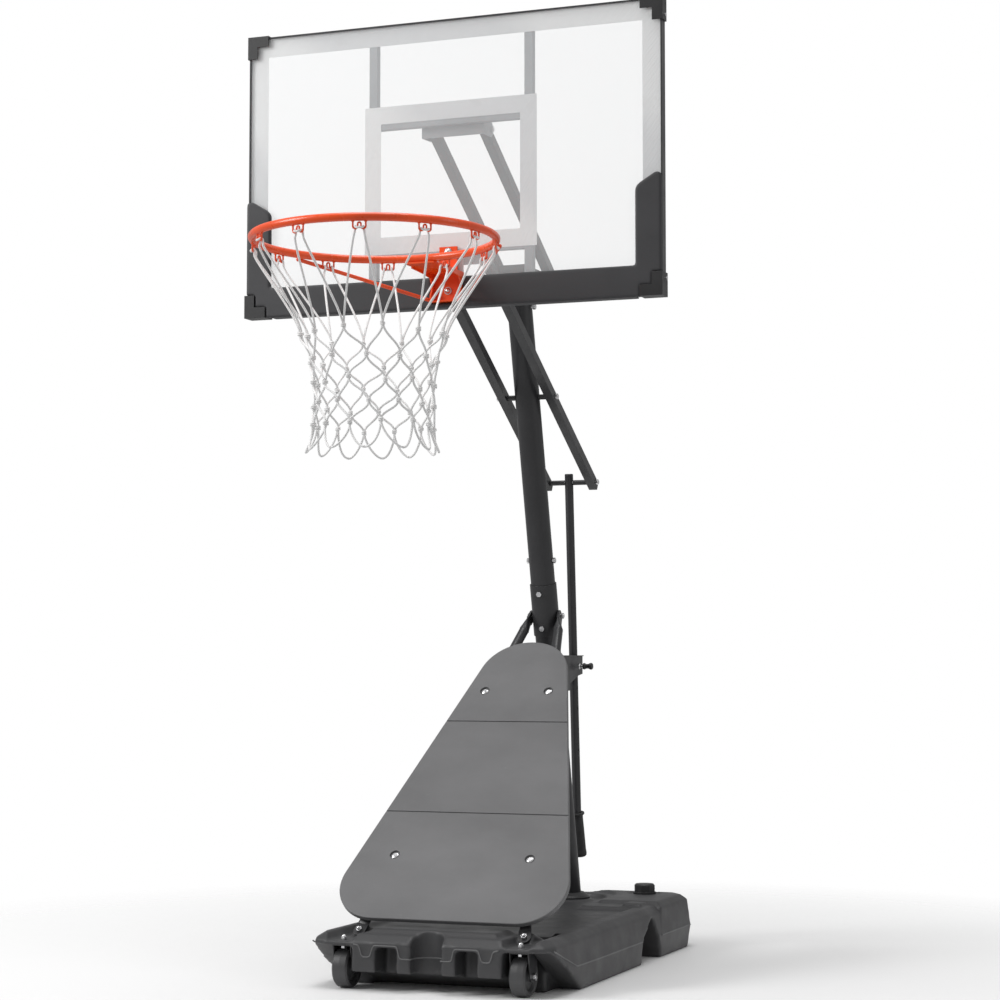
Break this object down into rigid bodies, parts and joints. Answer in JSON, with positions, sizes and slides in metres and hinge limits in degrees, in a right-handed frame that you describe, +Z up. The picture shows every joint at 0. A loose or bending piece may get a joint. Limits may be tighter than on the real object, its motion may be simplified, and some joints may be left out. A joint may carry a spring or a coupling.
{
  "type": "portable basketball hoop",
  "caption": "Wheeled junior basketball hoop: clear board and netted rim on parallel lift arms over a leaning pole, braced by struts and a front panel on a ballast tank",
  "frame": {"origin": "on the floor, in the middle plane, straight under the two lift-arm pivots on the pole", "axes": "X across the board with +X on the right of a player facing it, -Y towards the player, +Z up"},
  "size_m": [0.9446, 1.5025, 2.0175],
  "materials": {
    "black_steel": "satin black powder coat",
    "grey_steel": "satin grey powder coat",
    "tank_plastic": "dark grey blow-moulded polyethylene",
    "panel_plastic": "mid grey moulded plastic",
    "black_plastic": "black moulded plastic",
    "wheel_plastic": "dark grey hard wheel plastic",
    "grip_rubber": "black rubber",
    "pad_plastic": "dark grey moulded edge pad",
    "zinc": "bright zinc plate",
    "clear_sheet": "clear polycarbonate",
    "white_print": "white screen print",
    "rim_orange": "orange-red powder coat",
    "net_cord": "white braided cord"
  },
  "bodies": {
    "base": {"pole_upper": "black_steel", "pole_lower": "black_steel", "pole_sleeve": "black_steel", "pole_top_plug": "black_plastic", "sleeve_bolts": "zinc", "pole_head_saddle": "black_steel", "pole_pivot_spacers": "black_steel", "pole_pivot_bolts": "zinc", "rod_guide": "black_steel", "pole_cross_bolts": "zinc", "pin_collar": "zinc", "strut_left": "black_steel", "strut_right": "black_steel", "front_panel": "panel_plastic", "panel_screws": "zinc", "base_tank": "tank_plastic", "foot_collar": "black_plastic", "wheel_forks": "black_steel", "axle_bolts": "zinc", "ear_bolts": "zinc"},
    "lower_arms": {"lower_arm_left": "black_steel", "lower_arm_right": "black_steel", "lower_arm_plugs": "black_plastic", "tail_bolt": "zinc", "tail_spacers": "black_steel"},
    "upper_arms": {"upper_arm_left": "black_steel", "upper_arm_right": "black_steel", "upper_arm_plugs": "black_plastic"},
    "board": {"clear_board": "clear_sheet", "white_border": "white_print", "target_square": "white_print", "frame_bottom": "black_steel", "frame_top": "black_steel", "frame_left": "black_steel", "frame_right": "black_steel", "rear_posts": "grey_steel", "cross_bars": "grey_steel", "board_bracket_upper": "grey_steel", "board_bracket_lower": "grey_steel", "board_pivot_bolts": "zinc", "board_pivot_spacers": "grey_steel", "rim_backing_strip": "grey_steel", "edge_pad": "pad_plastic", "corner_caps": "black_plastic", "cap_screws": "zinc", "rim_ring": "rim_orange", "rim_bracket": "rim_orange", "rim_braces": "rim_orange", "rim_bolts": "zinc", "net_hooks": "rim_orange", "net": "net_cord"},
    "lift_rod": {"height_rod": "black_steel", "rod_top_plug": "black_plastic", "hand_grip": "grip_rubber"},
    "pull_pin": {"pull_pin": "zinc", "pin_knob": "black_plastic"},
    "wheel_left": {"wheel_left": "wheel_plastic"},
    "wheel_right": {"wheel_right": "wheel_plastic"},
    "fill_cap": {"fill_cap": "black_plastic"}
  },
  "joints": [
    {"name": "height_adjust", "type": "hinge", "parent": "base", "child": "lower_arms", "pos_m": [0, 0, 1.262], "axis": [1, 0, 0], "range_deg": [0, 36]},
    {"name": "upper_arm_swing", "type": "hinge", "parent": "base", "child": "upper_arms", "pos_m": [0, 0, 1.534], "axis": [1, 0, 0], "range_deg": [0, 36]},
    {"name": "board_level", "type": "hinge", "parent": "lower_arms", "child": "board", "pos_m": [0, -0.412, 1.51447], "axis": [1, 0, 0], "range_deg": [-36, 0]},
    {"name": "rod_swing", "type": "hinge", "parent": "lower_arms", "child": "lift_rod", "pos_m": [0, 0.28478, 1.08749], "axis": [1, 0, 0], "range_deg": [-41.7, 0]},
    {"name": "pin_pull", "type": "slide", "parent": "base", "child": "pull_pin", "axis": [1, 0, 0], "range_m": [-0.008, 0]},
    {"name": "wheel_left_roll", "type": "hinge", "parent": "base", "child": "wheel_left", "pos_m": [-0.193, -0.5465, 0.041], "axis": [1, 0, 0], "continuous": true},
    {"name": "wheel_right_roll", "type": "hinge", "parent": "base", "child": "wheel_right", "pos_m": [0.193, -0.5465, 0.041], "axis": [1, 0, 0], "continuous": true},
    {"name": "fill_cap_lift", "type": "slide", "parent": "base", "child": "fill_cap", "axis": [0, 0, 1], "range_m": [0, 0.05]}
  ],
  "couplings": [
    {"joint": "upper_arm_swing", "follows": "height_adjust", "ratio": 1},
    {"joint": "board_level", "follows": "height_adjust", "ratio": -1},
    {"joint": "rod_swing", "follows": "height_adjust", "ratio": -1.1541}
  ]
}
